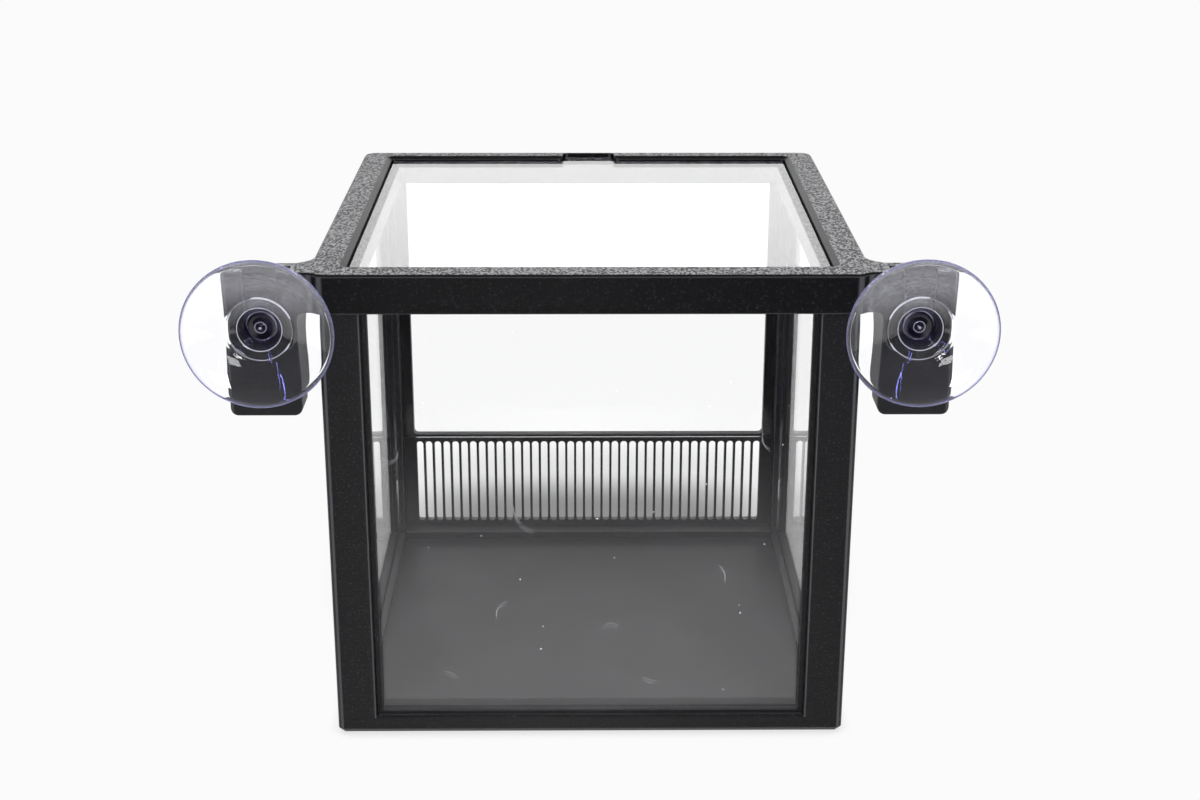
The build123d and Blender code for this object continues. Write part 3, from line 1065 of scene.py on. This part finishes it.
@dataclass
class Studio:
    """A white table and a bright wall behind, darkness in front and tall narrow lamps at the front sides."""

    white: float = 0.965
    through: float = 1.1
    contact_reach: float = 0.004
    contact_open: Span = (0.3, 0.9)
    contact_shade: float = 0.8
    # each soft shadow's centre along Y, half width, half depth and darkest tone
    shadows: tuple[tuple[float, ...], ...] = (
        (0.042, 0.054, 0.048, 0.33),
        (0.05, 0.066, 0.072, 0.74),
    )
    shadow_fade: Span = (0.22, 1.0)
    table_front: float = -0.375
    table_back: float = 3.0
    table_half_width: float = 3.0
    table_albedo: float = 0.8
    dark_side: Span = (0.1, 0.12)
    dark_range: Span = (-0.235, -0.06)
    sheets_behind: float = 2.5
    wall: float = 1.78
    ceiling: float = 0.5
    front_level: float = 0.03
    below_level: float = 0.02
    wall_top: Span = (0.34, 0.55)
    front_top: Span = (0.6, 0.95)
    wall_side: Span = (-0.15, 0.6)
    horizon: Span = (-0.03, 0.03)
    # each lamp's azimuth and elevation in degrees, distance, width, height and radiance
    lamps: tuple[SoftBox, ...] = (
        SoftBox("lamp_left", -27.0, 24.0, 0.9, 0.2, 0.75, 8.2, mirrored=False),
        SoftBox("lamp_right", 27.0, 24.0, 0.9, 0.2, 0.75, 10.5, mirrored=False),
        SoftBox("strip_left", -31.0, 25.0, 0.9, 0.008, 0.7, 40.0, VIOLET, roll=25.0),
        SoftBox("strip_right", 31.0, 25.0, 0.9, 0.008, 0.7, 40.0, VIOLET, roll=-25.0),
        SoftBox("lamp_camera", 0.0, 14.0, 0.33, 0.06, 0.05, 32.0),
    )

    def build(self) -> None:
        """Make the table, the light round it and the lamps."""
        self.table()
        self.world()
        low, high = CAD_BOX
        for lamp in self.lamps:
            lamp.build((Vector(low) + Vector(high)) / 2)
        log.info("studio: table, surrounding light and %d lamps", len(self.lamps))

    def table(self) -> None:
        """A level plane with a soft shadow behind the box, where the box shades it."""
        build = bmesh.new()
        wide, near, far = self.table_half_width, self.table_front, self.table_back
        corners = ((-wide, near), (wide, near), (wide, far), (-wide, far))
        build.faces.new([build.verts.new((x, y, 0.0)) for x, y in corners])
        mesh = bpy.data.meshes.new("table")
        build.to_mesh(mesh)
        build.free()
        graph = Finish("table_white")
        light = self.shadow(graph)
        rays = graph.add("ShaderNodeLightPath").outputs
        tone = graph.mix(graph.none(rays["Glossy Depth"]),
                         graph.product(light, self.mirrored_white(graph, rays)),
                         graph.product(light, self.seen_white(graph, rays)))
        glow = graph.add("ShaderNodeEmission", {"Color": WHITE, "Strength": tone})
        matt = graph.add("ShaderNodeBsdfDiffuse", {"Color": (self.table_albedo,) * 3})
        clear = graph.math("MAXIMUM", rays["Is Glossy Ray"], rays["Is Transmission Ray"])
        looked = self.first_hand(graph, rays, clear)
        mix = graph.add("ShaderNodeMixShader", {0: looked, 1: matt.outputs[0], 2: glow.outputs[0]})
        material = graph.end(mix)
        new_piece("table", mesh, material)

    @staticmethod
    def first_hand(graph: Graph, rays: Sockets, clear: Socket) -> Socket:
        """One for camera rays and the given clear ones that no matt surface has scattered."""
        looked = graph.math("MAXIMUM", rays["Is Camera Ray"], clear)
        return graph.product(looked, graph.none(rays["Diffuse Depth"]))

    def shadow(self, graph: Graph) -> Socket:
        """How much light reaches the table: less where the box touches it, and in soft patches behind it.

        Args:
            graph: the table material's graph.

        Returns:
            The share of light.
        """
        open_sky = graph.add("ShaderNodeAmbientOcclusion", {"Distance": self.contact_reach}, samples=8)
        light = graph.ramp(open_sky.outputs["AO"], self.contact_open, (self.contact_shade, 1.0))
        for centre, half_width, length, level in self.shadows:
            away = graph.vector("SUBTRACT", graph.place_m, (0.0, centre, 0.0))
            scaled = graph.vector("DIVIDE", away, (half_width, length, 1.0))
            reach = graph.length(graph.vector("MULTIPLY", scaled, scaled))
            light = graph.product(light, graph.ramp(reach, self.shadow_fade, (level, 1.0)))
        return light

    def seen_white(self, graph: Graph, rays: Sockets) -> Socket:
        """White as it looks straight on, and a touch brighter through clear sheets."""
        return graph.ramp(rays["Is Transmission Ray"], (0.0, 1.0), (self.white, self.through), smooth=False)

    def mirrored_white(self, graph: Graph, rays: Sockets) -> Socket:
        """How white the table looks in a reflection: it falls into the dark towards the camera.

        Args:
            graph: the table material's graph.
            rays: the outputs of its Light Path node.

        Returns:
            The strength, with no second image of the front window in the rear pane.
        """
        parts = graph.parts(graph.place_m)
        behind = graph.math("GREATER_THAN", parts["Y"], 0.0)
        outside = graph.math("LESS_THAN", rays["Transmission Depth"], self.sheets_behind)
        near = graph.product(graph.ramp(parts["Y"], self.dark_range), graph.math("MAXIMUM", outside, behind))
        return graph.math("MAXIMUM", near, graph.ramp(graph.size_of(parts["X"]), self.dark_side))

    def world(self) -> None:
        """White where it is looked at straight, and soft graded light everywhere else."""
        world = bpy.data.worlds.new("studio")
        bpy.context.scene.world = world
        world.use_nodes = True
        world.node_tree.nodes.clear()
        graph = Graph(world.node_tree)
        parts = graph.parts(graph.add("ShaderNodeTexCoord").outputs["Generated"])
        back = graph.ramp(parts["Z"], self.wall_top, (self.wall, self.ceiling))
        front = graph.ramp(parts["Z"], self.front_top, (self.front_level, self.ceiling))
        around = graph.mix(graph.ramp(parts["Y"], self.wall_side), front, back)
        above = graph.product(graph.ramp(parts["Z"], self.horizon), around)
        level = graph.math("ADD", above, self.below_level)
        rays = graph.add("ShaderNodeLightPath").outputs
        unbent = graph.product(rays["Is Transmission Ray"], graph.none(rays["Glossy Depth"]))
        straight = self.first_hand(graph, rays, unbent)
        strength = graph.mix(straight, level, self.seen_white(graph, rays))
        glow = graph.add("ShaderNodeBackground", {"Color": WHITE, "Strength": strength})
        graph.add("ShaderNodeOutputWorld", {"Surface": glow.outputs[0]})


@dataclass
class PhotoCamera:
    """The camera that sees the box as the photograph does."""

    place: Triple = (-1.75 * MM, -375.0 * MM, 189.03 * MM)
    left: float = -0.62
    down: float = 20.0
    roll: float = 0.12
    focal_pixels: float = 1863.65
    image_width: int = 1200
    sensor_mm: float = 36.0
    clip: Span = (0.01, 20.0)

    def build(self) -> None:
        """Make the camera and use it."""
        data = bpy.data.cameras.new("photo_camera")
        data.sensor_fit = "HORIZONTAL"
        data.sensor_width = self.sensor_mm
        data.lens = self.focal_pixels * self.sensor_mm / self.image_width
        data.clip_start, data.clip_end = self.clip
        camera = bpy.data.objects.new("photo_camera", data)
        camera.matrix_world = Matrix.Translation(self.place) @ aimed(self.left, self.down, self.roll)
        bpy.context.scene.collection.objects.link(camera)
        bpy.context.scene.camera = camera
        log.info("camera: %.1f mm lens", data.lens)


@dataclass
class PrintedParts:
    """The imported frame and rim, which keep their shapes."""

    frame_finish: PrintedPlastic
    rim_finish: PrintedPlastic

    def build(self) -> None:
        """Dress both printed pieces."""
        dress("base_frame", self.frame_finish.build())
        dress("top_rim", self.rim_finish.build())
        log.info("printed parts: base_frame and top_rim dressed")


@dataclass
class ClearParts:
    """The four panes and the lid, which keep their shapes."""

    front_finish: ClearSheet
    pane_finish: ClearSheet
    lid_finish: ClearSheet

    def build(self) -> None:
        """Dress the clear sheets."""
        dress("front_pane", self.front_finish.build())
        pane = self.pane_finish.build()
        for node in ("left_pane", "right_pane", "rear_pane"):
            dress(node, pane)
        dress("lid_pane", self.lid_finish.build())
        log.info("clear parts: four panes and the lid dressed")


def main() -> None:
    """Dress the box, then set up the studio and the camera."""
    logging.basicConfig(level=logging.INFO, format="%(name)s: %(message)s")
    bpy.context.scene.view_settings.view_transform = "Standard"
    frame_black = PrintedPlastic("printed_frame", FlatFinish.RASTER)
    # the rim's faces below its top band get the paler painted table reflection
    rim_black = PrintedPlastic("printed_rim", FlatFinish.PLATE_GRAIN, colour=(0.0024, 0.0024, 0.0025),
                               specular=0.08, table_reflection_range_mm=(76.0, 87.0))
    grille_black = PrintedPlastic("printed_grille", FlatFinish.RASTER, colour=(0.0075, 0.0075, 0.0076),
                                  edge_mm=0.12)
    PrintedParts(frame_black, rim_black).build()
    dusty = ClearSheet("acrylic_front_pane", dust_spacing_mm=3.6, dust_mm=0.17, dust_share=0.45,
                       hairs_mm=FRONT_HAIRS_MM)
    ClearParts(dusty, ClearSheet("acrylic_pane"), ClearSheet("acrylic_lid", shaded_edges=False)).build()
    grille = SlottedGrille().build(grille_black.build())
    log.info("grille: %d faces", len(grille.data.polygons))
    low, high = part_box("right_suction_cup")
    middle = (low + high) / (2 * MM)
    rubber = ClearRubber("clear_soft_plastic", (middle.x, middle.z), low.y / MM).build()
    for side in ("left", "right"):
        cup = SuctionCup(side).build(rubber)
        log.info("%s: %d faces", cup.name, len(cup.data.polygons))
    Studio().build()
    PhotoCamera().build()


if __name__ == "__main__":
    main()
